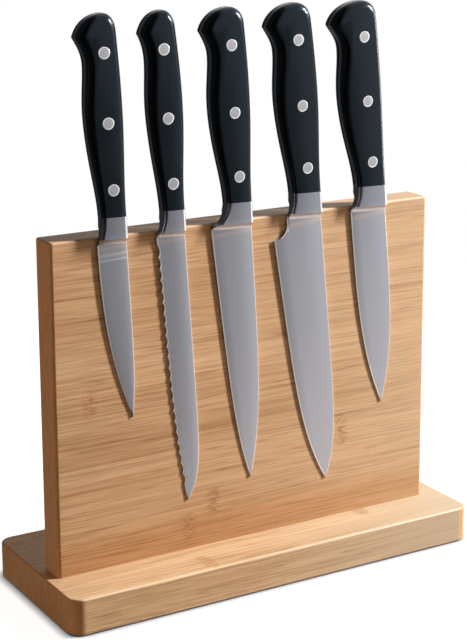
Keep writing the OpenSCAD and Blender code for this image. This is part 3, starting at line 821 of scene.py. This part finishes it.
# Sides where the studio is dimmer in a shine: the way to it, the cosines of the angle
# off it where the dimming starts and is full, and the share of white that is left
DIM_SIDES = [
    ((-0.98, 0.2, 0.0), -0.15, 0.35, 0.22),
    ((-0.35, 0.94, 0.0), 0.60, 0.90, 0.3),
    ((-0.87, -0.5, 0.0), 0.72, 0.90, 0.13),
]
FILL_WAY = (-0.97, 0.24, 0.0)       # the side that the warm fill light comes from
FILL_COLOUR = (1, 0.72, 0.50)
FLOOR_HALF = 3.0


def make_camera():
    """The photograph's view, found from the block's own straight edges."""
    yaw, pitch, roll = (math.radians(angle) for angle in GAZE)
    forward = Vector((math.sin(yaw) * math.cos(pitch), math.cos(yaw) * math.cos(pitch),
                      -math.sin(pitch)))
    level = Vector((math.cos(yaw), -math.sin(yaw), 0))
    above = level.cross(forward)
    right = math.cos(roll) * level + math.sin(roll) * above
    up = -math.sin(roll) * level + math.cos(roll) * above
    camera = bpy.data.cameras.new("camera")
    camera.sensor_width = 36
    camera.lens = FOCAL * camera.sensor_width / IMAGE_H
    camera.shift_y = -SHIFT / IMAGE_H
    camera.clip_end = 20
    obj = bpy.data.objects.new("camera", camera)
    turn = Matrix((right, up, -forward)).transposed().to_4x4()
    obj.matrix_world = Matrix.Translation(Vector(EYE)) @ turn
    bpy.context.scene.collection.objects.link(obj)
    bpy.context.scene.camera = obj


def make_lamp(name, place, aim, size, watts, colour, mirrored):
    lamp = bpy.data.lights.new(name, "AREA")
    lamp.shape = "RECTANGLE"
    lamp.size, lamp.size_y = size
    lamp.energy = watts
    lamp.color = colour
    obj = bpy.data.objects.new(name, lamp)
    obj.location = place
    obj.visible_glossy = mirrored
    obj.rotation_euler = (Vector(aim) - Vector(place)).to_track_quat("-Z", "Y").to_euler()
    bpy.context.scene.collection.objects.link(obj)


def seen_by(graph):
    """1 for a ray from the camera, and 1 for a ray that metal, plastic or glass sends on."""
    rays = graph.add("ShaderNodeLightPath").outputs
    return rays["Is Camera Ray"], graph.math("MAXIMUM", rays["Is Glossy Ray"],
                                             rays["Is Transmission Ray"])


def shine_level(graph, way):
    """How white the studio is in a shine, by the side it lies on."""
    flat = graph.vector("NORMALIZE", graph.stretched(way, 1, 1, 0))[0]
    level = None
    for toward, start, end, least in DIM_SIDES:
        cosine = graph.vector("DOT_PRODUCT", flat, toward)["Value"]
        side = graph.spread(cosine, start, end, 1.0, least, smooth=True)
        level = side if level is None else graph.math("MULTIPLY", level, side)
    return level


def make_world():
    """White behind the object, and in its shine by shine_level.

    The light that the world casts is faint and warm, and stronger from the left.
    """
    world = bpy.data.worlds.new("studio")
    bpy.context.scene.world = world
    world.use_nodes = True
    graph = Graph(world.node_tree)
    camera, mirrored = seen_by(graph)
    way = graph.add("ShaderNodeTexCoord").outputs["Generated"]
    white = graph.math("MAXIMUM", camera, shine_level(graph, way))
    fill = graph.spread(graph.vector("DOT_PRODUCT", way, FILL_WAY)["Value"], 0.0, 1.0, 0.05, 0.17)
    lit = graph.add("ShaderNodeBackground", {"Color": (*FILL_COLOUR, 1), "Strength": fill})
    shown = graph.add("ShaderNodeBackground", {"Color": (*WHITE, 1), "Strength": white})
    both = graph.either(graph.math("MAXIMUM", camera, mirrored), lit.outputs[0], shown.outputs[0])
    graph.set(graph.add("ShaderNodeOutputWorld"), "Surface", both)


def floor_look():
    """White that keeps the object's shadow near it, and runs out into the white behind."""
    made = bpy.data.materials.new("floor_white")
    made.use_nodes = True
    graph = Graph(made.node_tree)
    camera, mirrored = seen_by(graph)
    place = graph.add("ShaderNodeTexCoord").outputs["Object"]

    # To the camera: a little lit colour, and a glow that ambient occlusion darkens near the
    # object, a painted contact shadow
    shut = graph.add("ShaderNodeAmbientOcclusion", {"Distance": 0.006}).outputs["AO"]
    glow = graph.glow(graph.math("MULTIPLY", graph.math("POWER", shut, 2.0), 0.95))
    near = graph.add("ShaderNodeAddShader", {0: graph.matt(0.32, 0.32, 0.32), 1: glow})
    out = graph.spread(graph.vector("LENGTH", place)["Value"], 0.35, 0.8, smooth=True)
    seen = graph.either(out, near.outputs[0], graph.glow(1.0))

    # In a shine: white that dims toward the front and the left
    x, y, _ = graph.axes(place)
    run = graph.math("ADD", graph.math("MULTIPLY", x, 3.1), graph.math("MULTIPLY", y, 2.2))
    run = graph.spread(run, -0.56, -0.01, 0.38, 1.0)
    shine = graph.glow(graph.math("MULTIPLY", run, shine_level(graph, place)))

    rest = graph.either(mirrored, graph.matt(0.36, 0.29, 0.23), shine)
    graph.set(graph.add("ShaderNodeOutputMaterial"), "Surface", graph.either(camera, rest, seen))
    return made


def make_floor():
    half = FLOOR_HALF
    mesh = bpy.data.meshes.new("floor")
    mesh.from_pydata([(-half, -half, 0), (half, -half, 0), (half, half, 0), (-half, half, 0)],
                     [], [(0, 1, 2, 3)])
    mesh.materials.append(floor_look())
    floor = bpy.data.objects.new("floor", mesh)
    bpy.context.scene.collection.objects.link(floor)


def make_looks():
    return {
        # Painted light and shade at the right ends: the board pales toward +X, the base darkens
        # toward +X
        "board": bamboo("board_bamboo", 2, deeper_below=0.0406, tint=(1.03, 1.07, 1.12),
                        knuckles=[(-0.104, 0.117), (0.059, 0.073), (-0.028, 0.046),
                                  (-0.044, 0.034)]),
        "base": bamboo("base_bamboo", 1, tint=(1.22, 1.42, 1.66), painted_shading_colour=(0.50, 0.41, 0.30),
                       painted_shading_share=0.72, knuckles=[(-0.045, -0.041), (0.071, -0.02), (0.02, 0.021)]),
        "satin": satin_steel("satin_steel"),
        "banded": satin_steel(
            "banded_steel", (0.872, (0.410, 0.412, 0.452)), (0.876, (0.80, 0.78, 0.80)),
            (0.880, (0.42, 0.42, 0.46)), (0.886, (0.44, 0.43, 0.47)), (0.893, (0.66, 0.63, 0.66))),
        # Painted highlights on the ground edge, the blade's back and the bolster's corner, and a
        # painted reflection of the wood in the cove
        "ground": ground_steel("ground_steel", (0.84, 0.77, 0.71), (0.94, 0.87, 0.81)),
        "corner_highlight": ground_steel("corner_highlight_steel", (0.85, 0.86, 0.88), (0.94, 0.95, 0.97)),
        "cove": ground_steel("cove_steel", (0.56, 0.49, 0.46), (0.64, 0.56, 0.53)),
        "grip": grip_plastic(),
        "pin": metal("pin_metal", (0.34, 0.33, 0.345), (0.43, 0.42, 0.435), 2400.0, 0.42, 0.00002),
        "pin_rim": metal("pin_rim_metal", (0.90, 0.90, 0.90), (0.96, 0.96, 0.96), 900.0, 0.3),
        "mild_steel": metal("mild_steel", (0.30, 0.30, 0.31), (0.40, 0.40, 0.41), 700.0, 0.45),
        "nickel": metal("nickel", (0.55, 0.54, 0.51), (0.64, 0.63, 0.60), 900.0, 0.25),
        "zinc": metal("zinc", (0.52, 0.53, 0.54), (0.66, 0.67, 0.68), 800.0, 0.35),
        "dowel": bamboo("dowel_wood", 2),
        "rubber": rubber(),
    }


def main():
    bpy.context.scene.view_settings.view_transform = "Standard"
    make_camera()
    make_world()
    make_floor()
    for lamp in LAMPS:
        make_lamp(*lamp)
    looks = make_looks()
    make_block(looks)
    for k in KNIVES:
        make_knife(k, looks)


main()
